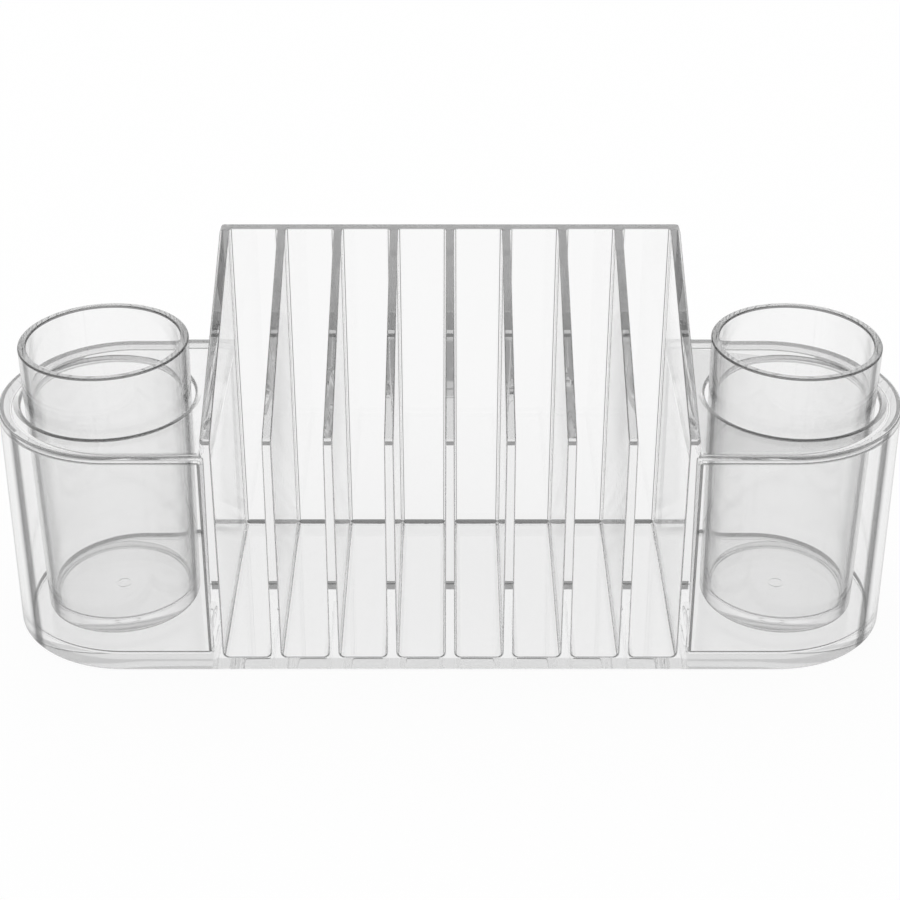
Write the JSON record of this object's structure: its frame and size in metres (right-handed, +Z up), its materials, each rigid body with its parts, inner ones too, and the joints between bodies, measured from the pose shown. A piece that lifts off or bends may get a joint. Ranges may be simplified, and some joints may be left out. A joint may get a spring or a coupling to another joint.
{
  "type": "vanity organizer",
  "caption": "Clear vanity organizer: a rack of upright slots with sloping dividers between two round-ended wings, each holding a lift-out cup.",
  "frame": {"origin": "centre of the footprint's bounding box, on the surface the organizer stands on", "axes": "+X to the right as seen from the open front of the slots, +Y towards the back wall, +Z up"},
  "size_m": [0.3116, 0.091, 0.129],
  "materials": {
    "clear_plastic": "clear, polished"
  },
  "bodies": {
    "rack": {"rack_body": "clear_plastic", "left_deck": "clear_plastic", "right_deck": "clear_plastic"},
    "left_cup": {"left_cup": "clear_plastic"},
    "right_cup": {"right_cup": "clear_plastic"}
  },
  "joints": [
    {"name": "left_cup_lift", "type": "slide", "parent": "rack", "child": "left_cup", "axis": [0, 0, 1], "range_m": [0, 0.1]},
    {"name": "right_cup_lift", "type": "slide", "parent": "rack", "child": "right_cup", "axis": [0, 0, 1], "range_m": [0, 0.1]}
  ]
}
